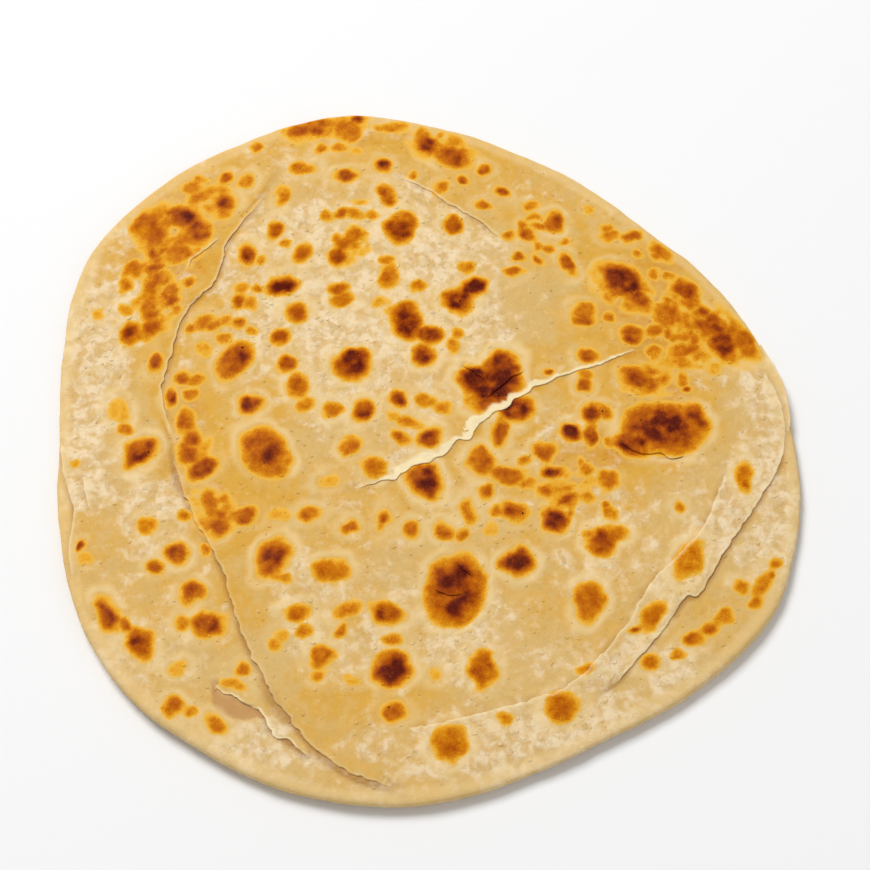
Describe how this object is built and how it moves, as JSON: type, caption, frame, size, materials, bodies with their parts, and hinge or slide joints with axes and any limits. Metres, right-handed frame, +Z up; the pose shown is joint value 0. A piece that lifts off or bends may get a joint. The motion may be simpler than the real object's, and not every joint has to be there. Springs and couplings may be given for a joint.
{
  "type": "paratha flatbread",
  "caption": "Round pan-cooked layered flatbread with an uneven rolled rim, folded-over plies and a torn seam, lying flat with its browned face up.",
  "frame": {"origin": "on the ground under the middle of the bread's length and width", "axes": "+Z up out of the browned face; X across the bread and Y along it, with the folded-in flap towards -X"},
  "size_m": [0.2184, 0.225, 0.007],
  "materials": {
    "dough": "cooked wheat dough, cream to warm yellow with toasted brown blisters, lightly oiled"
  },
  "bodies": {
    "root": {"paratha": "dough"}
  },
  "joints": []
}
